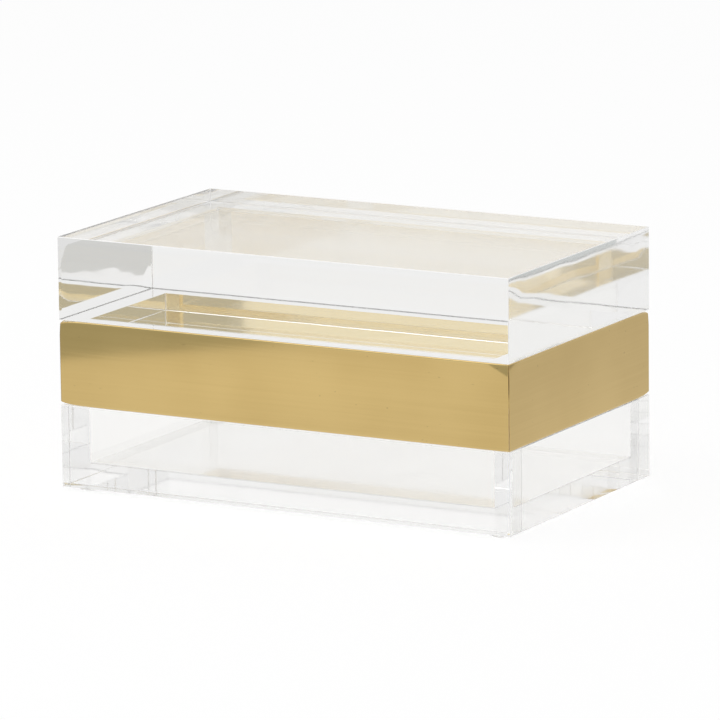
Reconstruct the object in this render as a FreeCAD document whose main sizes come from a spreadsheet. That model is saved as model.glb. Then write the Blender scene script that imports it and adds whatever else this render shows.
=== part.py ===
import FreeCAD, Part
import math
import os
import Sketcher

# A clear keepsake box: a thick-walled base with a flush brass band round its upper half, and a solid
# clear lid located by a plate that drops into the mouth. Lengths are in millimetres. The origin is
# the middle of the footprint, on the surface that the feet stand on. Front is -Y and up is +Z.

SIZES = (
    ("box_length", 203.2, "outside, left to right"),
    ("box_depth", 120.65, "outside, front to back"),
    ("base_height", 33.6, "clear wall below the band"),
    ("wall_thickness", 9.8, "sheet of the four walls"),
    ("floor_thickness", 9.5, "sheet of the floor"),
    ("band_height", 34.3, "brass strips, bottom to top"),
    ("band_thickness", 1.5, "brass strips"),
    ("band_corner_radius", 0.6, "upright outer corners of the brass"),
    ("band_edge_radius", 0.3, "outer top and bottom edges of the brass"),
    ("mitre_gap", 0.06, "from the mitre line to each strip's end, along the face"),
    ("glue_line", 0.1, "adhesive film round the band and over the feet"),
    ("rim_height", 0.1, "wall standing above the band"),
    ("seat_gap", 0.1, "air film under the resting lid"),
    ("lid_height", 33.8, "solid slab of the lid"),
    ("insert_height", 7.0, "locating plate under the slab"),
    ("insert_end_clearance", 0.4, "between the plate and the end walls"),
    ("insert_side_clearance", 1.7, "between the plate and the long walls"),
    ("polish_radius", 0.25, "eased edges of the clear pieces"),
    ("joint_ease", 0.15, "scraped arrises at the upright butt joints"),
    ("foot_diameter", 9.5, "stick-on bumper at its sticky face"),
    ("foot_tread_diameter", 8.6, "stick-on bumper where it stands"),
    ("foot_height", 1.6, "stick-on bumper"),
    ("foot_chamfer", 0.3, "sloped lower edge of the bumper"),
    ("foot_inset", 8.2, "bumper's middle from both outer faces"),
)

# Levels and reaches that several pieces share, written in the sizes above.
BASE_LEVEL = "(sizes.foot_height + sizes.glue_line)"
REBATE = "(sizes.band_thickness + sizes.glue_line)"
BAND_LEVEL = f"({BASE_LEVEL} + sizes.base_height + sizes.glue_line)"
TONGUE_HEIGHT = "(sizes.glue_line + sizes.band_height + sizes.rim_height)"
LID_LEVEL = f"({BASE_LEVEL} + sizes.base_height + {TONGUE_HEIGHT} + sizes.seat_gap)"
INNER_LENGTH = "(sizes.box_length - 2 * sizes.wall_thickness)"
INNER_DEPTH = "(sizes.box_depth - 2 * sizes.wall_thickness)"

# Each side of the box: the way its outer face looks, and the turn that takes the front there.
SIDES = (
    ("front", 0, -1, 0),
    ("right", 1, 0, 90),
    ("back", 0, 1, 180),
    ("left", -1, 0, 270),
)
LONG_SIDES = ("front", "back")
FEET = (
    ("front_left", -1, -1),
    ("front_right", 1, -1),
    ("back_left", -1, 1),
    ("back_right", 1, 1),
)

# Coordinates closer than this are one place when edges are picked out.
SAME_PLACE = 1e-4
UPRIGHT = FreeCAD.Vector(0, 0, 1)

doc = FreeCAD.newDocument("keepsake_box")
sheet = doc.addObject("Spreadsheet::Sheet", "sizes")
for row, (alias, size, note) in enumerate(SIZES, start=1):
    sheet.set(f"A{row}", note)
    sheet.set(f"B{row}", str(size))
    sheet.setAlias(f"B{row}", alias)
doc.recompute()


def value(expression):
    """The number that an expression in the sheet's sizes comes to."""
    return float(sheet.evalExpression(expression))


def same(first, second):
    return abs(first - second) < SAME_PLACE


def new_body(name, x="0", y="0", z="0", turn=0):
    """A body whose own origin lies at three expressions, turned about the upright axis."""
    body = doc.addObject("PartDesign::Body", name)
    body.Label = name
    body.Placement = FreeCAD.Placement(FreeCAD.Vector(), FreeCAD.Rotation(UPRIGHT, turn))
    body.setExpression("Placement.Base.x", x)
    body.setExpression("Placement.Base.y", y)
    body.setExpression("Placement.Base.z", z)
    return body


def new_sketch(body, name, role="XY_Plane", level="0"):
    """An empty sketch on one of the body's own planes, raised to a level."""
    plane = next(plane for plane in body.Origin.OriginFeatures if plane.Role == role)
    sketch = body.newObject("Sketcher::SketchObject", f"{body.Name}_{name}")
    sketch.AttachmentSupport = [(plane, "")]
    sketch.MapMode = "FlatFace"
    sketch.setExpression("AttachmentOffset.Base.z", level)
    return sketch


def constrain(sketch, *rules):
    for rule in rules:
        sketch.addConstraint(Sketcher.Constraint(*rule))


def bind(sketch, name, expression, kind, *where):
    """Adds a driving dimension with a name and ties it to the sheet."""
    index = sketch.addConstraint(Sketcher.Constraint(kind, *where, value(expression)))
    sketch.renameConstraint(index, name)
    sketch.setExpression(f"Constraints.{name}", expression)


def draw_closed(sketch, corners):
    """Four or more lines through the corners, joined end to end. Gives their numbers."""
    points = [FreeCAD.Vector(x, y, 0) for x, y in corners]
    ends = points[1:] + points[:1]
    lines = [sketch.addGeometry(Part.LineSegment(*pair)) for pair in zip(points, ends)]
    for line, following in zip(lines, lines[1:] + lines[:1]):
        constrain(sketch, ("Coincident", line, 2, following, 1))
    return lines


def draw_plate(sketch, length, width):
    """A rectangle about the body's upright axis."""
    x, y = value(length) / 2, value(width) / 2
    near, right, far, left = draw_closed(sketch, [(-x, -y), (x, -y), (x, y), (-x, y)])
    constrain(sketch, ("Horizontal", near), ("Horizontal", far), ("Vertical", right), ("Vertical", left))
    constrain(sketch, ("Symmetric", near, 1, far, 1, -1, 1))
    bind(sketch, "length", length, "DistanceX", near, 1, near, 2)
    bind(sketch, "width", width, "DistanceY", right, 1, right, 2)


def draw_panel(sketch, length, thickness):
    """A rectangle that reaches outwards, to -Y, from an inner face on the X axis."""
    x, y = value(length) / 2, -value(thickness)
    outer, right, inner, left = draw_closed(sketch, [(-x, y), (x, y), (x, 0), (-x, 0)])
    constrain(sketch, ("Horizontal", outer), ("Vertical", right), ("Vertical", left))
    constrain(sketch, ("Symmetric", inner, 1, inner, 2, -2), ("PointOnObject", inner, 1, -1))
    bind(sketch, "length", length, "DistanceX", outer, 1, outer, 2)
    bind(sketch, "thickness", thickness, "DistanceY", right, 1, right, 2)


def draw_strip(sketch, length):
    """Plan of a brass strip: outer face on the X axis, rounded corners, ends mitred at 45 degrees."""
    flat_length = f"({length} - 2 * sizes.band_corner_radius)"
    inside_length = f"({length} - 2 * sizes.band_thickness - 2 * sizes.mitre_gap)"
    flat_x, inside_x = value(flat_length) / 2, value(inside_length) / 2
    radius, gap = value("sizes.band_corner_radius"), value("sizes.mitre_gap")
    down, eighth_turn = -math.pi / 2, math.pi / 4
    # The gap ends each corner's arc a little short of the mitre line.
    sweep = eighth_turn - math.asin(gap * math.sin(eighth_turn) / radius)
    right_circle = Part.Circle(FreeCAD.Vector(flat_x, radius, 0), UPRIGHT, radius)
    left_circle = Part.Circle(FreeCAD.Vector(-flat_x, radius, 0), UPRIGHT, radius)
    right_arc = Part.ArcOfCircle(right_circle, down, down + sweep)
    left_arc = Part.ArcOfCircle(left_circle, down - sweep, down)
    inside_right = FreeCAD.Vector(inside_x, value("sizes.band_thickness"), 0)
    inside_left = FreeCAD.Vector(-inside_x, value("sizes.band_thickness"), 0)

    outer = sketch.addGeometry(Part.LineSegment(left_arc.EndPoint, right_arc.StartPoint))
    right_corner = sketch.addGeometry(right_arc)
    right_mitre = sketch.addGeometry(Part.LineSegment(right_arc.EndPoint, inside_right))
    inside = sketch.addGeometry(Part.LineSegment(inside_right, inside_left))
    left_mitre = sketch.addGeometry(Part.LineSegment(inside_left, left_arc.StartPoint))
    left_corner = sketch.addGeometry(left_arc)
    constrain(sketch, ("Tangent", outer, 2, right_corner, 1), ("Tangent", left_corner, 2, outer, 1))
    constrain(sketch, ("Coincident", right_corner, 2, right_mitre, 1))
    constrain(sketch, ("Coincident", right_mitre, 2, inside, 1))
    constrain(sketch, ("Coincident", inside, 2, left_mitre, 1))
    constrain(sketch, ("Coincident", left_mitre, 2, left_corner, 1))
    constrain(sketch, ("PointOnObject", outer, 1, -1), ("Symmetric", outer, 1, outer, 2, -2))
    constrain(sketch, ("Symmetric", inside, 1, inside, 2, -2), ("Equal", right_corner, left_corner))
    constrain(sketch, ("Angle", right_mitre, math.pi - eighth_turn))
    constrain(sketch, ("Angle", left_mitre, eighth_turn - math.pi))
    bind(sketch, "corner", "sizes.band_corner_radius", "Radius", right_corner)
    bind(sketch, "flat", flat_length, "DistanceX", outer, 1, outer, 2)
    bind(sketch, "inside", inside_length, "DistanceX", inside, 2, inside, 1)
    bind(sketch, "thickness", "sizes.band_thickness", "DistanceY", -1, 1, inside, 1)


def draw_foot(sketch):
    """Half section of a bumper below its sticky face: it narrows towards the tread."""
    top_x, tread_x = value("sizes.foot_diameter / 2"), value("sizes.foot_tread_diameter / 2")
    low = -value("sizes.foot_height")
    corners = [(0, 0), (top_x, 0), (tread_x, low), (0, low)]
    sticky, side, tread, axis = draw_closed(sketch, corners)
    constrain(sketch, ("Coincident", sticky, 1, -1, 1), ("Horizontal", sticky))
    constrain(sketch, ("Horizontal", tread), ("Vertical", axis))
    bind(sketch, "sticky", "sizes.foot_diameter / 2", "DistanceX", sticky, 1, sticky, 2)
    bind(sketch, "tread", "sizes.foot_tread_diameter / 2", "DistanceX", tread, 2, tread, 1)
    bind(sketch, "height", "sizes.foot_height", "DistanceY", axis, 1, axis, 2)


def pad(sketch, height, downward=False):
    body = sketch.getParentGeoFeatureGroup()
    feature = body.newObject("PartDesign::Pad", f"{sketch.Name}_pad")
    feature.Profile = sketch
    feature.Reversed = downward
    feature.setExpression("Length", height)
    doc.recompute()
    return feature


def revolve(sketch):
    body = sketch.getParentGeoFeatureGroup()
    feature = body.newObject("PartDesign::Revolution", f"{sketch.Name}_turned")
    feature.Profile = sketch
    feature.ReferenceAxis = (sketch, ["V_Axis"])
    doc.recompute()
    return feature


def ease(feature, kind, size_name, size, picked):
    """A Fillet or Chamfer on the edges whose middle point passes the test."""
    names = []
    for number, edge in enumerate(feature.Shape.Edges, start=1):
        middle = edge.valueAt((edge.FirstParameter + edge.LastParameter) / 2)
        if picked(middle):
            names.append(f"Edge{number}")
    body = feature.getParentGeoFeatureGroup()
    eased = body.newObject(f"PartDesign::{kind}", f"{feature.Name}_{kind.lower()}")
    eased.Base = (feature, names)
    eased.setExpression(size_name, size)
    doc.recompute()
    return eased


def build_lid():
    """The solid slab, and the locating plate bonded under it."""
    block = new_body("lid_block", z=LID_LEVEL)
    plan = new_sketch(block, "plan")
    draw_plate(plan, "sizes.box_length", "sizes.box_depth")
    ease(pad(plan, "sizes.lid_height"), "Fillet", "Radius", "sizes.polish_radius", lambda middle: True)

    insert = new_body("lid_insert", z=LID_LEVEL)
    plan = new_sketch(insert, "plan")
    length = f"({INNER_LENGTH} - 2 * sizes.insert_end_clearance)"
    draw_plate(plan, length, f"({INNER_DEPTH} - 2 * sizes.insert_side_clearance)")
    plate = pad(plan, "sizes.insert_height", downward=True)
    # The upper edges lie in the bond and stay sharp.
    ease(plate, "Fillet", "Radius", "sizes.polish_radius", lambda middle: not same(middle.z, 0))


def build_wall(side, out_x, out_y, turn):
    """A clear sheet whose upper part steps back to seat the band. Only the long ones reach the corners."""
    is_long = side in LONG_SIDES
    length = "sizes.box_length" if is_long else INNER_DEPTH
    tongue_length = f"({length} - 2 * {REBATE})" if is_long else length
    wall = new_body(
        f"wall_{side}",
        f"{out_x} * {INNER_LENGTH} / 2",
        f"{out_y} * {INNER_DEPTH} / 2",
        BASE_LEVEL,
        turn,
    )
    base = new_sketch(wall, "base")
    draw_panel(base, length, "sizes.wall_thickness")
    pad(base, "sizes.base_height")
    tongue = new_sketch(wall, "tongue", level="sizes.base_height")
    draw_panel(tongue, tongue_length, f"(sizes.wall_thickness - {REBATE})")
    stepped = pad(tongue, TONGUE_HEIGHT)

    end_x, outer_y = value(length) / 2, -value("sizes.wall_thickness")
    shoulder_z = value("sizes.base_height")

    def at_a_level(middle):
        return same(middle.z, 0) or same(middle.z, shoulder_z)

    def at_a_joint(middle):
        joint_y = 0 if is_long else outer_y
        between = 0 < middle.z < shoulder_z and not at_a_level(middle)
        return between and same(abs(middle.x), end_x) and same(middle.y, joint_y)

    def outside(middle):
        on_face = same(middle.y, outer_y)
        on_end = is_long and same(abs(middle.x), end_x)
        return (on_face and on_end) or (at_a_level(middle) and (on_face or on_end))

    polished = ease(stepped, "Fillet", "Radius", "sizes.polish_radius", outside)
    ease(polished, "Chamfer", "Size", "sizes.joint_ease", at_a_joint)


def build_floor():
    floor = new_body("floor_panel", z=BASE_LEVEL)
    plan = new_sketch(floor, "plan")
    draw_plate(plan, INNER_LENGTH, INNER_DEPTH)
    pad(plan, "sizes.floor_thickness")


def build_band(side, out_x, out_y, turn):
    """One strip of the band, flush with the wall below it and standing on the wall's shoulder."""
    length = "sizes.box_length" if side in LONG_SIDES else "sizes.box_depth"
    strip = new_body(
        f"band_{side}",
        f"{out_x} * sizes.box_length / 2",
        f"{out_y} * sizes.box_depth / 2",
        BAND_LEVEL,
        turn,
    )
    plan = new_sketch(strip, "plan")
    draw_strip(plan, length)
    bar = pad(plan, "sizes.band_height")
    end_x = value(length) / 2
    radius, top_z = value("sizes.band_corner_radius"), value("sizes.band_height")

    def outer_edge(middle):
        along_face = same(middle.y, 0) and abs(middle.x) < end_x - radius
        beyond = abs(middle.x) - (end_x - radius)
        round_corner = beyond > 0 and same(math.hypot(beyond, radius - middle.y), radius)
        return (same(middle.z, 0) or same(middle.z, top_z)) and (along_face or round_corner)

    ease(bar, "Fillet", "Radius", "sizes.band_edge_radius", outer_edge)


def build_foot(place, to_x, to_y):
    foot = new_body(
        f"foot_{place}",
        f"{to_x} * (sizes.box_length / 2 - sizes.foot_inset)",
        f"{to_y} * (sizes.box_depth / 2 - sizes.foot_inset)",
        "sizes.foot_height",
    )
    section = new_sketch(foot, "section", role="XZ_Plane")
    draw_foot(section)
    low = -value("sizes.foot_height")
    ease(revolve(section), "Chamfer", "Size", "sizes.foot_chamfer", lambda middle: same(middle.z, low))


def write_parts():
    """Stops at anything that failed, then writes each piece to a file of its own name."""
    doc.recompute()
    failed = [item.Name for item in doc.Objects if {"Invalid", "Error"} & set(item.State)]
    bodies = [item for item in doc.Objects if item.isDerivedFrom("PartDesign::Body")]
    for body in bodies:
        if body.Shape.isNull() or not body.Shape.isValid() or len(body.Shape.Solids) != 1:
            failed.append(body.Name)
    if failed:
        raise RuntimeError(f"these did not build: {failed}")
    os.makedirs("parts", exist_ok=True)
    for body in bodies:
        body.Shape.exportStep(os.path.join("parts", f"{body.Label}.step"))


build_lid()
for side in SIDES:
    build_wall(*side)
build_floor()
for side in SIDES:
    build_band(*side)
for foot in FEET:
    build_foot(*foot)
write_parts()
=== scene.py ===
import math

import bmesh
import bpy
from mathutils import Matrix, Vector
from mathutils.bvhtree import BVHTree
from mathutils.geometry import area_tri, tessellate_polygon


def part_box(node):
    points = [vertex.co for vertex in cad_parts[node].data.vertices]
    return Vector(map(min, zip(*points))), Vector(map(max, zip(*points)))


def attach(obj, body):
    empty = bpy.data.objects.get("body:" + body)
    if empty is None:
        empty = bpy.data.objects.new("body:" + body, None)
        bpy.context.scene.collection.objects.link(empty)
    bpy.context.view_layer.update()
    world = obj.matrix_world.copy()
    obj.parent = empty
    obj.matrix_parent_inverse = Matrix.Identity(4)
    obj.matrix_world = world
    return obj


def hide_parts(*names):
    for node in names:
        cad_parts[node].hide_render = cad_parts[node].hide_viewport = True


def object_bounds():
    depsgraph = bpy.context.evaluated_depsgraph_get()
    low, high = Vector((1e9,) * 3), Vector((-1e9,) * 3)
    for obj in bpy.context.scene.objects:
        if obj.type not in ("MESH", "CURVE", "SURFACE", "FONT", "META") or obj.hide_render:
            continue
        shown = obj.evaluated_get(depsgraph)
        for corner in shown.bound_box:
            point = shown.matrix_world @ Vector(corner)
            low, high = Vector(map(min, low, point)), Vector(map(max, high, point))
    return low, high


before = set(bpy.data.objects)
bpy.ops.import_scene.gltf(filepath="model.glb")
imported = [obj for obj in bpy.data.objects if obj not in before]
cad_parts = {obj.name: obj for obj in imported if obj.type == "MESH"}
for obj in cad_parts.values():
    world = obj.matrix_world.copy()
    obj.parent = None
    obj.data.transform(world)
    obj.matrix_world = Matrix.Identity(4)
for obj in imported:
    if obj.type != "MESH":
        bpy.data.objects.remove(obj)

CAD_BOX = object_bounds()
MM = 0.001
WHITE = (1, 1, 1, 1)

# The photograph's camera, fitted to the box's corners.
CAMERA_AZIMUTH = math.radians(29.213)
CAMERA_ELEVATION = math.radians(11.673)
CAMERA_ROLL = math.radians(-0.695)
CAMERA_DISTANCE = 2583.5 * MM
CAMERA_LENS = 322.40
CAMERA_SENSOR = 36
CAMERA_REACH = 100
CAMERA_RIGHT = 2.04 * MM
CAMERA_UP = -0.60 * MM
AIM_HEIGHT = 52 * MM

# The clear pieces of each body, those whose edges are scraped but still clear, and the feet.
CLEAR_NODES = {
    "lid": ("lid_block", "lid_insert"),
    "box": ("wall_front", "wall_back", "wall_left", "wall_right", "floor_panel"),
}
CLEAR_EDGED_NODES = ("wall_left", "wall_right", "lid_insert")
FOOT_NODES = ("foot_front_left", "foot_front_right", "foot_back_left", "foot_back_right")
# Each brass strip: the way along it, seen from outside from left to right, and the way inwards.
STRIPS = {
    "band_front": (Vector((1, 0, 0)), Vector((0, 1, 0))),
    "band_right": (Vector((0, 1, 0)), Vector((-1, 0, 0))),
    "band_back": (Vector((-1, 0, 0)), Vector((0, -1, 0))),
    "band_left": (Vector((0, -1, 0)), Vector((1, 0, 0))),
}

# Meshes: which edges are sharp, which faces are flat, and how close counts as touching.
SHARP_ANGLE = math.radians(50)
FLAT_ANGLE = math.radians(0.05)
FLAT_NORMAL = math.cos(math.radians(3))
AXIS_NORMAL = 0.9999
FACING_NORMAL = 0.05
NORMAL_WEIGHT = 100
WELD_DISTANCE = 1e-7
TOUCH_DISTANCE = 1e-6
PROBE_DEPTH = 0.02 * MM
PROBE_WAY = Vector((0.3123, 0.2217, 0.9231)).normalized()
# The top of the floor's sides, where glue shows as a line along the walls.
GLUE_LINE = 0.35 * MM
# The material slots of a clear piece.
FINISH, WELDED, EDGE, JOINT, LOWER_EDGE = range(5)

# Acrylic: the shallow waves, streaks, grooves and rolled edges that buffing leaves on sawn sides.
ACRYLIC_IOR = 1.49
ACRYLIC_TINT = (0.994, 0.992, 0.985, 1)
SMUDGE_SCALE = 45
SMUDGE_RANGE = (0.4, 0.8)
FACING_RANGE = (0.2, 0.9)
WAVE_LENGTH = 32 * MM
WAVE_DEPTH = 0.035 * MM
FLAT_SHARE = 0.25
STREAK_LENGTH = 45 * MM
STREAK_HEIGHT = 9 * MM
GROOVE_WIDTH = 0.8 * MM
GROOVE_LENGTH = 40 * MM
ROLL_REACH = 5 * MM
CORNER_ROLL_REACH = 14 * MM
# How each body was finished: the least and most roughness of its smudges, and then, for the left and
# the right end, how hazy it is and how deep it is streaked, grooved and rolled.
LID_POLISH = {
    "roughness": (0.0, 0.03),
    "haze": (0.02, 0.05),
    "streaks": (0.05 * MM, 0.07 * MM),
    "grooves": (0.001 * MM, 0.0025 * MM),
    "roll": (0.1 * MM, 0.0),
    "corner_roll": (0.2 * MM, 0.2 * MM),
}
BOX_POLISH = {
    "roughness": (0.0, 0.03),
    "haze": (0.02, 0.02),
    "streaks": (0.012 * MM, 0.012 * MM),
    "grooves": (0.0005 * MM, 0.0005 * MM),
    "roll": (0.03 * MM, 0.03 * MM),
    "corner_roll": (0.0, 0.0),
}
SCUFFED = {
    "roughness": (0.06, 0.09),
    "haze": (0.0, 0.0),
    "streaks": (0.0, 0.0),
    "grooves": (0.0, 0.0),
    "roll": (0.0, 0.0),
    "corner_roll": (0.0, 0.0),
}

# Edges of the clear sheets, each with its dark tone, light tone and clearness: open ones, those at
# joints, those left as sawn under the lid and painted dark as shade, and those under the box.
OPEN_EDGE = (0.96, 1.0, 0.1)
JOINT_EDGE = (0.4, 1.0, 1.0)
# The lid's lower edges: dark grey and opaque, painted shade of the gap under the lid.
SAWN_PAINTED_SHADE_EDGE = (0.3, 0.65, 0.0)
LOW_EDGE = (0.95, 1.0, 1.0)
CHATTER_SCALE = 900
CHATTER_RANGE = (0.3, 0.7)
CHATTER_DEPTH = 0.006 * MM
SCRAPED_ROUGHNESS = (0.3, 0.45)
# How much light a welded face lets through: where it is clear, between two walls, and at the glue line.
CLEAR_WELD = 1.0
CLOUDY_WELD = 0.955
GLUE_WELD = 0.65

# Brass: tones from dark to light of the satin face, and of the back where it is bare and where it is glued.
# The back's tones are painted light: paler than brass, so that its reflections come out brighter.
SATIN_TONES = ((0.605, 0.436, 0.173, 1), (0.665, 0.485, 0.201, 1))
BARE_PAINTED_LIGHT_TONES = ((0.93, 0.81, 0.53, 1), (0.97, 0.855, 0.595, 1))
GLUED_PAINTED_LIGHT_TONES = ((0.85, 0.79, 0.65, 1), (0.89, 0.83, 0.7, 1))
# The glue ends over this reach below the top edge, and the back begins at these shares of the thickness.
BARE_REACH = (10 * MM, 6 * MM)
BACK_SHARES = (-0.8, -0.7)
# Polishing lines, clouds, worn edges, specks and waves: how fine they are and how strong.
TONE_RANGE = (0.3, 0.7)
LINE_SCALE = (9, 1100)
LINE_SHARE = 0.25
LINE_DEPTH = 0.0012 * MM
CLOUD_SCALE = 22
CLOUD_SHARE = 0.75
WORN_TONE = (0.8, 0.66, 0.36, 1)
WORN_SHARE = 0.15
WORN_REACH = (0.2 * MM, 1.2 * MM)
SPECK_TONE = (0.3, 0.22, 0.09, 1)
SPECK_SHARE = 0.5
SPECK_SCALE = 700
SPECK_RANGE = (0.83, 0.87)
GLOSS_RANGE = (0.25, 0.75)
BRASS_ROUGHNESS = (0.06, 0.09)
BACK_ROUGHNESS_SHARE = 1.5
SHEET_WAVE_SCALE = 16
SHEET_WAVE_DEPTH = 0.03 * MM

# Brass strips: how far the buffed ends drop and round over, in from the mitre and from the edges.
STRIP_EDGE_RADIUS = 0.3 * MM
STRIP_CORNER_RADIUS = 0.6 * MM
STRIP_END_DROP = 1.1 * MM
STRIP_END_REACH = 3.6 * MM
STRIP_ROLL_DEPTH = 0.3 * MM
STRIP_ROLL_REACH = 10 * MM
STRIP_ROLL_RISE = 5.5 * MM
STRIP_ROLL_POWER = 1.3
SEAM_GAP = 0.17 * MM
SEAM_TOUCH = 19.5 * MM
SEAM_TOUCH_REACH = 2.5 * MM
MITRE_SWEEP = math.pi / 4
# At the near corner the two strips meet without a drop: the strip and which end of it.
TIGHT_ENDS = {"band_front": 1, "band_right": -1}
# How many steps a strip's mesh has round an edge, round a corner, up its face and along it.
EDGE_STEPS = 4
CORNER_STEPS = 7
RISE_STEPS = 24
FLAT_STEPS = 60

# Bumpers under the box.
BUMPER_IOR = 1.45
BUMPER_CLEARNESS = 0.8
BUMPER_TONES = ((0.93, 0.94, 0.94, 1), (0.97, 0.97, 0.97, 1))
BUMPER_CLOUD_SCALE = 400
BUMPER_CLOUD_RANGE = (0.3, 0.7)
BUMPER_ROUGHNESS = (0.35, 0.5)
GRAIN_SCALE = 2500
GRAIN_DEPTH = 0.01 * MM
GRAIN_STRENGTH = 0.6

# Studio: the world's strength in metal and glass and as light, and the white floor.
WORLD_SEEN = 0.88
WORLD_LIGHT = 0.7
FLOOR_TONE = (0.95, 0.95, 0.95, 1)
FLOOR_ROUGHNESS = 0.9
FLOOR_GLOW_SHARE = 0.88
FLOOR_HALF = 8
FLOOR_LEVEL = -0.02 * MM
# Metal and glass see the floor with a painted pool of light: brightest at a spot, and darker or lighter
# over these reaches.
BRIGHT_SPOT = (-0.13, -0.28, 0.0)
SPOT_REACH, SPOT_TONES = (0.0, 0.11), (1.0, 0.92)
FAR_REACH, FAR_TONES = (0.4, 0.75), (1.0, 0.93)
RIGHT_REACH, RIGHT_TONES = (0.08, 0.22), (1.0, 0.84)
BACK_REACH, BACK_TONES = (-0.05, 0.1), (1.0, 1.035)
# Studio cards that lie on the floor, glowing at their own tone as painted light: tone, and corners in plan.
LYING_CARDS = {
    "card_back_right": ((0.63, 0.63, 0.615), ((0.02, 0.422), (0.196, 0.368), (0.196, 0.62), (0.02, 0.62))),
    "card_front_left": ((0.545, 0.57, 0.56), ((-0.85, 0.3305), (-0.85, -0.95), (0.4305, -0.95))),
    "card_far_right": ((0.45, 0.45, 0.44), ((0.29, 0.36), (0.4, 0.3), (2.0, 1.5), (1.5, 2.0))),
}
LYING_CARD_LEVEL = 0.5 * MM
# Studio cards that stand behind the camera, glowing at their own tone as painted light: tone, left side and
# right side.
STANDING_CARDS = {
    "card_behind_camera": ((0.5, 0.5, 0.48), -1.2, 3.2),
    "card_window": ((0.9, 0.9, 0.89), -3.4, -1.2),
}
STANDING_CARD_PLACE = -2.9
STANDING_CARD_HEIGHT = 2.6
LAMP_SIZE = 1.6
LAMP_POWER = 16
LAMP_PLACE = Vector((-0.5, -0.6, 1.8))
# Light goes round inside the clear sheets many times before it leaves.
BOUNCES = 80
TRANSPARENT_BOUNCES = 40


class Graph:
    """Adds and joins the nodes of one tree, so that a formula reads as one line."""

    def __init__(self, tree):
        self.nodes, self.links = tree.nodes, tree.links

    def put(self, socket, value):
        if isinstance(value, bpy.types.NodeSocket):
            self.links.new(value, socket)
        else:
            socket.default_value = value

    def node(self, kind, inputs=None, **settings):
        node = self.nodes.new(f"ShaderNode{kind}")
        for name, value in settings.items():
            setattr(node, name, value)
        for name, value in (inputs or {}).items():
            self.put(node.inputs[name], value)
        return node

    def math(self, operation, *values):
        node = self.node("Math", operation=operation)
        for socket, value in zip(node.inputs, values):
            self.put(socket, value)
        return node.outputs[0]

    def product(self, *values):
        total = values[0]
        for value in values[1:]:
            total = self.math("MULTIPLY", total, value)
        return total

    def sum(self, *values):
        total = values[0]
        for value in values[1:]:
            total = self.math("ADD", total, value)
        return total

    def ramp(self, value, low, high, start=0.0, end=1.0):
        """A smooth step from start to end while the value goes from low to high."""
        inputs = {"Value": value, "From Min": low, "From Max": high, "To Min": start, "To Max": end}
        return self.node("MapRange", inputs, interpolation_type="SMOOTHSTEP").outputs["Result"]

    def blend(self, factor, first, second):
        node = self.node("Mix", data_type="RGBA")
        colours = [socket for socket in node.inputs if socket.type == "RGBA"]
        self.put(node.inputs["Factor"], factor)
        self.put(colours[0], first)
        self.put(colours[1], second)
        return next(socket for socket in node.outputs if socket.type == "RGBA")

    def place(self):
        """The point in the object's own coordinates."""
        return self.node("TexCoord").outputs["Object"]

    def parts(self, vector):
        """The vector's x, y and z."""
        node = self.node("SeparateXYZ", {"Vector": vector})
        return node.outputs["X"], node.outputs["Y"], node.outputs["Z"]

    def noise(self, vector, scale, detail):
        return self.node("TexNoise", {"Vector": vector, "Scale": scale, "Detail": detail}).outputs["Fac"]

    def stretched(self, vector, along, up):
        """The vector with its level and its upright part scaled by themselves."""
        node = self.node("Mapping", {"Vector": vector, "Scale": (along, along, up)})
        return node.outputs["Vector"]

    def bump(self, shader, height, strength=1.0):
        node = self.node("Bump", {"Height": height, "Distance": 1.0, "Strength": strength})
        self.put(shader.inputs["Normal"], node.outputs["Normal"])

    def show(self, node, output):
        self.put(self.nodes["Material Output"].inputs["Surface"], node.outputs[output])


def new_material(name):
    material = bpy.data.materials.new(name)
    material.use_nodes = True
    return material, Graph(material.node_tree), material.node_tree.nodes["Principled BSDF"]


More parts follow.
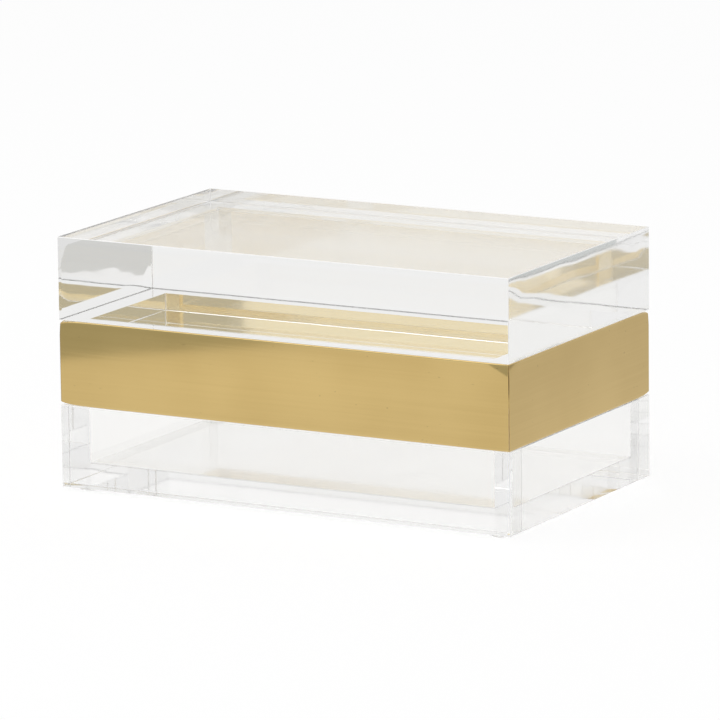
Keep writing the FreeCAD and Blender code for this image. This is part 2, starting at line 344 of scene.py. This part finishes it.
def acrylic(name, low, high, polish):
    """Clear cast acrylic with faint smudges. Its end faces show the marks of sawing and buffing."""
    material, graph, shader = new_material(name)
    shader.inputs["Base Color"].default_value = ACRYLIC_TINT
    shader.inputs["IOR"].default_value = ACRYLIC_IOR
    shader.inputs["Transmission Weight"].default_value = 1
    vector = graph.place()
    parts = graph.parts(vector)
    middle, half = (low + high) / 2, (high - low) / 2
    normal_x, normal_y, normal_z = graph.parts(graph.node("NewGeometry").outputs["Normal"])
    on_end = graph.ramp(graph.math("ABSOLUTE", normal_x), *FACING_RANGE)

    def at_ends(key):
        """A value of the polish, from the left end's to the right end's, and nothing on the other faces."""
        return graph.product(graph.ramp(parts[0], -half.x, half.x, *polish[key]), on_end)

    smudge = graph.ramp(graph.noise(vector, SMUDGE_SCALE, detail=3), *SMUDGE_RANGE, *polish["roughness"])
    graph.put(shader.inputs["Roughness"], graph.sum(smudge, at_ends("haze")))

    to_sides = []
    for axis in (1, 2):
        offset = graph.math("ABSOLUTE", graph.math("SUBTRACT", parts[axis], middle[axis]))
        to_sides.append(graph.math("SUBTRACT", half[axis], offset))
    to_edge = graph.math("MINIMUM", *to_sides)
    to_corner = graph.math("SQRT", graph.sum(*[graph.math("POWER", way, 2) for way in to_sides]))
    edge_roll = graph.product(graph.ramp(to_edge, 0.0, ROLL_REACH, -1.0, 0.0), at_ends("roll"))
    corner_fall = graph.ramp(to_corner, 0.0, CORNER_ROLL_REACH, -1.0, 0.0)
    corner_roll = graph.product(corner_fall, at_ends("corner_roll"))

    lying = graph.math("ABSOLUTE", normal_z)
    wave_depth = graph.ramp(lying, *FACING_RANGE, WAVE_DEPTH, WAVE_DEPTH * FLAT_SHARE)
    wave = graph.product(graph.noise(vector, 1 / WAVE_LENGTH, detail=1), wave_depth)
    along_streaks = graph.stretched(vector, 1 / STREAK_LENGTH, 1 / STREAK_HEIGHT)
    along_grooves = graph.stretched(vector, 1 / GROOVE_WIDTH, 1 / GROOVE_LENGTH)
    streak = graph.product(graph.noise(along_streaks, 1, detail=1), at_ends("streaks"))
    groove = graph.product(graph.noise(along_grooves, 1, detail=0), at_ends("grooves"))
    graph.bump(shader, graph.sum(wave, streak, groove, edge_roll, corner_roll))
    return material


def scraped(name, dark, light, clearness):
    """The eased edges of the clear sheets, scraped and left frosted."""
    material, graph, shader = new_material(name)
    shader.inputs["IOR"].default_value = ACRYLIC_IOR
    shader.inputs["Transmission Weight"].default_value = clearness
    vector = graph.place()
    chatter = graph.noise(vector, CHATTER_SCALE, detail=2)
    tone = graph.blend(chatter, (dark, dark, dark, 1), (light, light, light, 1))
    graph.put(shader.inputs["Base Color"], tone)
    graph.put(shader.inputs["Roughness"], graph.ramp(chatter, *CHATTER_RANGE, *SCRAPED_ROUGHNESS))
    graph.bump(shader, graph.product(chatter, CHATTER_DEPTH))
    return material


def bond(name, tone):
    """Where two clear sheets are welded the light goes straight on, weaker where the weld is cloudy."""
    material, graph, shader = new_material(name)
    graph.nodes.remove(shader)
    graph.show(graph.node("BsdfTransparent", {"Color": (tone, tone, tone, 1)}), "BSDF")
    return material


def brass(low, high):
    """Satin brass outside, with fine level polishing lines, and paler behind, most where glue covers it.
    The pale back is painted light, brighter than brass reflects.
    """
    material, graph, shader = new_material("satin_brass")
    shader.inputs["Metallic"].default_value = 1
    vector = graph.place()
    x, y, z = graph.parts(vector)
    beyond_x = graph.math("SUBTRACT", graph.math("ABSOLUTE", x), high.x)
    beyond_y = graph.math("SUBTRACT", graph.math("ABSOLUTE", y), high.y)
    beyond = graph.math("MAXIMUM", beyond_x, beyond_y)
    outside = graph.ramp(beyond, *(share * strip_thickness() for share in BACK_SHARES))

    lines = graph.noise(graph.stretched(vector, *LINE_SCALE), 1, detail=3)
    cloud = graph.noise(vector, CLOUD_SCALE, detail=2)
    speck = graph.ramp(graph.noise(vector, SPECK_SCALE, detail=0), *SPECK_RANGE)
    to_edge = graph.math("MINIMUM", graph.math("SUBTRACT", z, low.z), graph.math("SUBTRACT", high.z, z))
    worn = graph.ramp(to_edge, *WORN_REACH, 1.0, 0.0)

    tone = graph.sum(graph.product(lines, LINE_SHARE), graph.product(cloud, CLOUD_SHARE))
    satin = graph.blend(graph.ramp(tone, *TONE_RANGE), *SATIN_TONES)
    satin = graph.blend(graph.product(worn, WORN_SHARE), satin, WORN_TONE)
    satin = graph.blend(graph.product(speck, SPECK_SHARE), satin, SPECK_TONE)
    # The back's bare and glued tones are painted light: paler than brass, to brighten its reflections.
    bare_painted_light = graph.blend(lines, *BARE_PAINTED_LIGHT_TONES)
    glued_painted_light = graph.blend(lines, *GLUED_PAINTED_LIGHT_TONES)
    back = graph.blend(graph.ramp(z, *(high.z - reach for reach in BARE_REACH)), glued_painted_light, bare_painted_light)
    graph.put(shader.inputs["Base Color"], graph.blend(outside, back, satin))

    gloss = graph.ramp(tone, *GLOSS_RANGE, *BRASS_ROUGHNESS)
    coarser = graph.math("MULTIPLY_ADD", outside, 1 - BACK_ROUGHNESS_SHARE, BACK_ROUGHNESS_SHARE)
    graph.put(shader.inputs["Roughness"], graph.product(gloss, coarser))
    sheet_wave = graph.product(graph.noise(vector, SHEET_WAVE_SCALE, detail=0), SHEET_WAVE_DEPTH)
    graph.bump(shader, graph.sum(sheet_wave, graph.product(lines, LINE_DEPTH)))
    return material


def bumper():
    """Clear soft bumpers, a little cloudy, with a fine moulded grain."""
    material, graph, shader = new_material("clear_bumper")
    shader.inputs["IOR"].default_value = BUMPER_IOR
    shader.inputs["Transmission Weight"].default_value = BUMPER_CLEARNESS
    vector = graph.place()
    cloud = graph.noise(vector, BUMPER_CLOUD_SCALE, detail=2)
    graph.put(shader.inputs["Base Color"], graph.blend(cloud, *BUMPER_TONES))
    graph.put(shader.inputs["Roughness"], graph.ramp(cloud, *BUMPER_CLOUD_RANGE, *BUMPER_ROUGHNESS))
    grain = graph.product(graph.noise(vector, GRAIN_SCALE, detail=1), GRAIN_DEPTH)
    graph.bump(shader, grain, GRAIN_STRENGTH)
    return material


def merged_shape(mesh):
    """A copy of the mesh whose faces share their corners."""
    shape = bmesh.new()
    shape.from_mesh(mesh)
    bmesh.ops.remove_doubles(shape, verts=shape.verts, dist=WELD_DISTANCE)
    return shape


def lies_on_side(face, low, high, axis):
    """True if the face lies in one of the box's planes across another axis."""
    middle = face.calc_center_median()
    return any(
        abs(face.normal[other]) > AXIS_NORMAL
        and min(abs(middle[other] - low[other]), abs(middle[other] - high[other])) < TOUCH_DISTANCE
        for other in range(3)
        if other != axis
    )


def cut_flat_faces(shape, low, high):
    """Splits the flat faces that a neighbour's box touches along the box's own planes."""
    for axis in range(3):
        for level in (low[axis], high[axis]):
            normal = Vector((0, 0, 0))
            normal[axis] = 1
            touched = [face for face in shape.faces if lies_on_side(face, low, high, axis)]
            if touched:
                around = {edge for face in touched for edge in face.edges}
                corners = {vert for face in touched for vert in face.verts}
                bmesh.ops.bisect_plane(
                    shape,
                    geom=touched + list(around) + list(corners),
                    dist=WELD_DISTANCE,
                    plane_co=normal * level,
                    plane_no=normal,
                )


def cut_level(shape, level):
    """Splits all faces that cross the level."""
    bmesh.ops.bisect_plane(
        shape,
        geom=shape.verts[:] + shape.edges[:] + shape.faces[:],
        dist=WELD_DISTANCE,
        plane_co=Vector((0, 0, level)),
        plane_no=Vector((0, 0, 1)),
    )


def point_in_face(face):
    """The middle of the largest triangle that a face, which may be L-shaped, divides into."""
    corners = [vert.co for vert in face.verts]
    triangles = [[corners[number] for number in trio] for trio in tessellate_polygon([corners])]
    largest = max(triangles, key=lambda trio: area_tri(*trio))
    return sum(largest, Vector()) / 3


def holds(tree, point):
    """True if the point lies inside the closed mesh."""
    crossings, start = 0, point
    while True:
        hit = tree.ray_cast(start, PROBE_WAY)[0]
        if hit is None:
            return crossings % 2 == 1
        crossings += 1
        start = hit + PROBE_WAY * TOUCH_DISTANCE


def glue_level():
    """The lower side of the glue line along the floor."""
    low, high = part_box("floor_panel")
    return high.z - GLUE_LINE


def joint_shows(face, node, other):
    """True where two walls meet, and in the glue line round the floor."""
    if node == "floor_panel":
        return face.calc_center_median().z > glue_level()
    return node.startswith("wall") and other.startswith("wall")


def edge_slot(node, normal):
    """The slab's lower back and left edges are as sawn and carry a painted shade, and the walls' lower
    edges stay clear.
    """
    if normal.z > -FACING_NORMAL or node == "lid_insert":
        return EDGE
    left_or_back = normal.y > FACING_NORMAL or normal.x < -FACING_NORMAL
    return LOWER_EDGE if left_or_back or node != "lid_block" else EDGE


def face_slot(face, node, trees):
    """The material slot of a clear piece's face: welded to a neighbour, open, or an eased edge."""
    beyond = point_in_face(face) + face.normal * PROBE_DEPTH
    touched = [other for other, tree in trees.items() if holds(tree, beyond)]
    if touched:
        return JOINT if joint_shows(face, node, touched[0]) else WELDED
    if max(abs(part) for part in face.normal) >= FLAT_NORMAL:
        return FINISH
    return edge_slot(node, face.normal)


def shade(shape):
    for edge in shape.edges:
        edge.smooth = edge.calc_face_angle(math.pi) < SHARP_ANGLE
    for face in shape.faces:
        face.smooth = True


def add_piece(name, shape, materials, node, body):
    mesh = bpy.data.meshes.new(name)
    shape.to_mesh(mesh)
    shape.free()
    for material in materials:
        mesh.materials.append(material)
    piece = bpy.data.objects.new(name, mesh)
    bpy.context.scene.collection.objects.link(piece)
    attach(piece, body)
    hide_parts(node)
    return piece


def clear_piece(node, body, neighbours, materials):
    """The node's own shape, with its faces sorted by what they touch."""
    shape = merged_shape(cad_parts[node].data)
    bmesh.ops.dissolve_limit(shape, angle_limit=FLAT_ANGLE, verts=shape.verts, edges=shape.edges)
    shape.normal_update()
    trees = {}
    for other in neighbours:
        cut_flat_faces(shape, *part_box(other))
        copy = merged_shape(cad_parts[other].data)
        trees[other] = BVHTree.FromBMesh(copy)
        copy.free()
    if node == "floor_panel":
        cut_level(shape, glue_level())
    shape.normal_update()
    shade(shape)
    for face in shape.faces:
        face.material_index = face_slot(face, node, trees)
    piece = add_piece(f"{node}_clear", shape, materials, node, body)
    # Large faces keep their own normals, and the eased edges turn smoothly between them.
    weighting = piece.modifiers.new("flat_faces", "WEIGHTED_NORMAL")
    weighting.mode = "FACE_AREA"
    weighting.weight = NORMAL_WEIGHT
    weighting.keep_sharp = True


def strip_thickness():
    low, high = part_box("band_front")
    return high.y - low.y


def spread(length, steps):
    """Places from nothing to the length, close together at both ends."""
    return [length * (0.5 - 0.5 * math.cos(math.pi * step / steps)) for step in range(steps + 1)]


def strip_profile(height):
    """Heights above the strip's lower edge, and how far the rounded edges fall back there."""
    radius = STRIP_EDGE_RADIUS
    turns = [math.pi / 2 * step / EDGE_STEPS for step in range(EDGE_STEPS + 1)]
    lower = [(radius - radius * math.cos(turn), radius - radius * math.sin(turn)) for turn in turns]
    upper = [(height - rise, back) for rise, back in reversed(lower)]
    between = [(radius + rise, 0.0) for rise in spread(height - 2 * radius, RISE_STEPS)[1:-1]]
    return lower + between + upper


def strip_stations(half):
    """Along the strip, left to right: which corner, how far round its arc, and the way along the flat."""
    flat = half - STRIP_CORNER_RADIUS
    left = [(-1, 1 - step / CORNER_STEPS, -flat) for step in range(CORNER_STEPS)]
    between = [(0, 0.0, way - flat) for way in spread(2 * flat, FLAT_STEPS)]
    right = [(1, share, flat) for corner, share, way in reversed(left)]
    return left + between + right


def strip_point(half, corner, share, way, gap):
    """Plan point, way outwards there, and way to the seam. The gap ends the arc short of the mitre."""
    radius = STRIP_CORNER_RADIUS
    sweep = MITRE_SWEEP - gap / radius
    outwards = Vector((corner * math.sin(sweep * share), -math.cos(sweep * share)))
    to_end = sweep * radius * (1 - share) + half - radius - abs(way)
    return Vector((way, radius)) + outwards * radius, outwards, to_end


def seam_gap(rise):
    """The seam at the near corner closes where the two strips touch."""
    return SEAM_GAP * (1 - math.exp(-((rise - SEAM_TOUCH) / SEAM_TOUCH_REACH) ** 2))


def buffed_back(to_end, below_top):
    """How far a strip's upper corner is buffed back."""
    near_corner = max(0.0, 1 - to_end / STRIP_ROLL_REACH - below_top / STRIP_ROLL_RISE)
    return STRIP_ROLL_DEPTH * near_corner ** STRIP_ROLL_POWER


def join_rows(shape, rows):
    """Skins the rows of points, which go round the strip, and closes both ends."""
    count = len(rows[0])
    for row, following in zip(rows, rows[1:]):
        for number in range(count):
            after = (number + 1) % count
            shape.faces.new((row[number], following[number], following[after], row[after]))
    shape.faces.new(list(reversed(rows[0])))
    shape.faces.new(rows[-1])
    bmesh.ops.remove_doubles(shape, verts=shape.verts, dist=TOUCH_DISTANCE)
    bmesh.ops.dissolve_degenerate(shape, edges=shape.edges, dist=WELD_DISTANCE)
    bmesh.ops.recalc_face_normals(shape, faces=shape.faces)


def brass_piece(node, material):
    """A strip as in the model, with the soft corners that buffing gives: its ends drop and round over."""
    along, inwards = STRIPS[node]
    low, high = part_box(node)
    thickness, height = strip_thickness(), high.z - low.z
    sides = (CAD_BOX[1].x, CAD_BOX[1].y)
    half, reach = sides if abs(along.x) > abs(along.y) else reversed(sides)
    outer_face = inwards * -reach
    inside_half = half - thickness - SEAM_GAP

    def place(way, inset, level):
        return outer_face + along * way + inwards * inset + Vector((0, 0, level))

    shape = bmesh.new()
    rows = []
    for corner, share, way in strip_stations(half):
        tight = way * TIGHT_ENDS.get(node, 0) > 0
        row = []
        for rise, back in strip_profile(height):
            gap = seam_gap(rise) if tight else SEAM_GAP
            plan, outwards, to_end = strip_point(half, corner, share, way, gap)
            drop = 0.0 if tight else STRIP_END_DROP * math.exp(-to_end / STRIP_END_REACH)
            point = plan - outwards * (back + buffed_back(to_end, height - rise))
            row.append(place(point.x, point.y, low.z + drop + rise * (height - 2 * drop) / height))
        inner_way = max(-inside_half, min(inside_half, plan.x))
        row.append(place(inner_way, thickness, high.z - drop))
        row.append(place(inner_way, thickness, low.z + drop))
        rows.append([shape.verts.new(point) for point in row])
    join_rows(shape, rows)
    shade(shape)
    add_piece(f"{node}_brass", shape, [material], node, "box")


def dress_clear_pieces():
    lid_low, lid_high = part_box("lid_block")
    base_low, base_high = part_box("wall_front")
    base_high = Vector((base_high.x, -base_low.y, base_high.z))
    welded = bond("solvent_bond", CLEAR_WELD)
    cloudy = bond("cloudy_bond", CLOUDY_WELD)
    glue = bond("glue_line", GLUE_WELD)
    open_edge = scraped("scraped_edge", *OPEN_EDGE)
    joint_edge = scraped("joint_edge", *JOINT_EDGE)
    # The lid's sawn lower edges are dark and opaque: painted shade of the gap below the lid.
    lower_edges = {"lid": scraped("sawn_painted_shade_edge", *SAWN_PAINTED_SHADE_EDGE), "box": scraped("low_edge", *LOW_EDGE)}
    finishes = {
        "lid": acrylic("clear_acrylic_lid", lid_low, lid_high, LID_POLISH),
        "box": acrylic("clear_acrylic_box", base_low, base_high, BOX_POLISH),
    }
    floor_finish = acrylic("clear_acrylic_floor", base_low, base_high, SCUFFED)
    for body, nodes in CLEAR_NODES.items():
        for node in nodes:
            others = [other for other in nodes if other != node]
            finish, joint = finishes[body], cloudy
            if node == "floor_panel":
                finish, joint = floor_finish, glue
            edge = joint_edge if node in CLEAR_EDGED_NODES else open_edge
            clear_piece(node, body, others, (finish, welded, edge, joint, lower_edges[body]))


def dress_band():
    low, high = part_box("band_front")
    metal = brass(low, Vector((CAD_BOX[1].x, CAD_BOX[1].y, high.z)))
    for node in STRIPS:
        brass_piece(node, metal)


def dress_feet():
    rubber = bumper()
    for node in FOOT_NODES:
        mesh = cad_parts[node].data
        mesh.materials.clear()
        mesh.materials.append(rubber)


def set_camera():
    azimuth, elevation = CAMERA_AZIMUTH, CAMERA_ELEVATION
    forward = Vector((
        -math.sin(azimuth) * math.cos(elevation),
        math.cos(azimuth) * math.cos(elevation),
        -math.sin(elevation),
    ))
    level = Vector((math.cos(azimuth), math.sin(azimuth), 0))
    rise = level.cross(forward)
    right = math.cos(CAMERA_ROLL) * level + math.sin(CAMERA_ROLL) * rise
    up = math.cos(CAMERA_ROLL) * rise - math.sin(CAMERA_ROLL) * level
    aim = Vector((0, 0, AIM_HEIGHT))
    eye = aim - forward * CAMERA_DISTANCE + right * CAMERA_RIGHT + up * CAMERA_UP
    camera = bpy.data.objects.new("camera", bpy.data.cameras.new("camera"))
    camera.data.lens = CAMERA_LENS
    camera.data.sensor_width = CAMERA_SENSOR
    camera.data.clip_end = CAMERA_REACH
    camera.matrix_world = Matrix((
        (right.x, up.x, -forward.x, eye.x),
        (right.y, up.y, -forward.y, eye.y),
        (right.z, up.z, -forward.z, eye.z),
        (0, 0, 0, 1),
    ))
    bpy.context.scene.collection.objects.link(camera)
    bpy.context.scene.camera = camera


def seen_by(graph):
    """Two factors: 1 for what the camera sees itself, and 1 for what it sees in metal or glass too."""
    path = graph.node("LightPath")
    camera = path.outputs["Is Camera Ray"]
    mirrored = graph.math("MAXIMUM", path.outputs["Is Glossy Ray"], path.outputs["Is Transmission Ray"])
    return camera, graph.math("MAXIMUM", camera, mirrored)


def set_world():
    world = bpy.data.worlds.new("studio")
    bpy.context.scene.world = world
    world.use_nodes = True
    graph = Graph(world.node_tree)
    camera, seen = seen_by(graph)
    strength = graph.math("MULTIPLY_ADD", seen, WORLD_SEEN - WORLD_LIGHT, WORLD_LIGHT)
    background = graph.nodes["Background"]
    graph.put(background.inputs["Strength"], graph.math("MAXIMUM", camera, strength))
    background.inputs["Color"].default_value = WHITE
    world.cycles.sampling_method = "NONE"


def stage_plane(name, corners, material):
    mesh = bpy.data.meshes.new(name)
    mesh.from_pydata(corners, [], [tuple(range(len(corners)))])
    mesh.materials.append(material)
    plane = bpy.data.objects.new(name, mesh)
    bpy.context.scene.collection.objects.link(plane)
    return plane


def set_floor():
    """A white floor that keeps the shadow. Metal and glass see a painted glow on it, greyer away from the
    bright spot.
    """
    material, graph, shader = new_material("paper_floor")
    shader.inputs["Base Color"].default_value = FLOOR_TONE
    shader.inputs["Roughness"].default_value = FLOOR_ROUGHNESS
    camera, seen = seen_by(graph)
    position = graph.node("NewGeometry").outputs["Position"]
    x, y, z = graph.parts(position)
    distance = graph.node("VectorMath", {0: position, 1: BRIGHT_SPOT}, operation="DISTANCE")
    from_spot = distance.outputs["Value"]
    falloff = graph.product(
        graph.ramp(from_spot, *SPOT_REACH, *SPOT_TONES),
        graph.ramp(from_spot, *FAR_REACH, *FAR_TONES),
        graph.ramp(x, *RIGHT_REACH, *RIGHT_TONES),
        graph.ramp(y, *BACK_REACH, *BACK_TONES),
    )
    strength = graph.math("MAXIMUM", camera, falloff)
    glow = graph.node("Emission", {"Color": WHITE, "Strength": strength})
    glow_share = graph.product(seen, FLOOR_GLOW_SHARE)
    mix = graph.node("MixShader", {0: glow_share, 1: shader.outputs["BSDF"], 2: glow.outputs["Emission"]})
    graph.show(mix, "Shader")
    material.cycles.emission_sampling = "NONE"
    size, level = FLOOR_HALF, FLOOR_LEVEL
    corners = [(-size, -size, level), (size, -size, level), (size, size, level), (-size, size, level)]
    stage_plane("floor", corners, material)


def set_card(name, tone, corners):
    """A studio card outside the picture, which glows at its own tone as painted light rather than being
    lit, and only shows in metal and glass.
    """
    material, graph, shader = new_material(name)
    graph.nodes.remove(shader)
    graph.show(graph.node("Emission", {"Color": (*tone, 1), "Strength": 1.0}), "Emission")
    material.cycles.emission_sampling = "NONE"
    card = stage_plane(name, corners, material)
    card.visible_camera = False
    card.visible_diffuse = False
    card.visible_shadow = False


def set_cards():
    for name, (tone, plan) in LYING_CARDS.items():
        set_card(name, tone, [(x, y, LYING_CARD_LEVEL) for x, y in plan])
    back, top = STANDING_CARD_PLACE, STANDING_CARD_HEIGHT
    for name, (tone, left, right) in STANDING_CARDS.items():
        set_card(name, tone, [(left, back, 0.0), (right, back, 0.0), (right, back, top), (left, back, top)])


def set_lamp():
    lamp = bpy.data.lights.new("overhead", "AREA")
    lamp.shape = "RECTANGLE"
    lamp.size, lamp.size_y = LAMP_SIZE, LAMP_SIZE
    lamp.energy = LAMP_POWER
    lamp_object = bpy.data.objects.new("overhead", lamp)
    lamp_object.location = LAMP_PLACE
    lamp_object.rotation_euler = (-LAMP_PLACE).to_track_quat("-Z", "Y").to_euler()
    bpy.context.scene.collection.objects.link(lamp_object)


def set_render():
    scene = bpy.context.scene
    scene.view_settings.view_transform = "Standard"
    scene.cycles.blur_glossy = 0
    scene.cycles.max_bounces = BOUNCES
    scene.cycles.transmission_bounces = BOUNCES
    scene.cycles.glossy_bounces = BOUNCES
    scene.cycles.transparent_max_bounces = TRANSPARENT_BOUNCES


dress_clear_pieces()
dress_band()
dress_feet()
set_camera()
set_world()
set_floor()
set_cards()
set_lamp()
set_render()
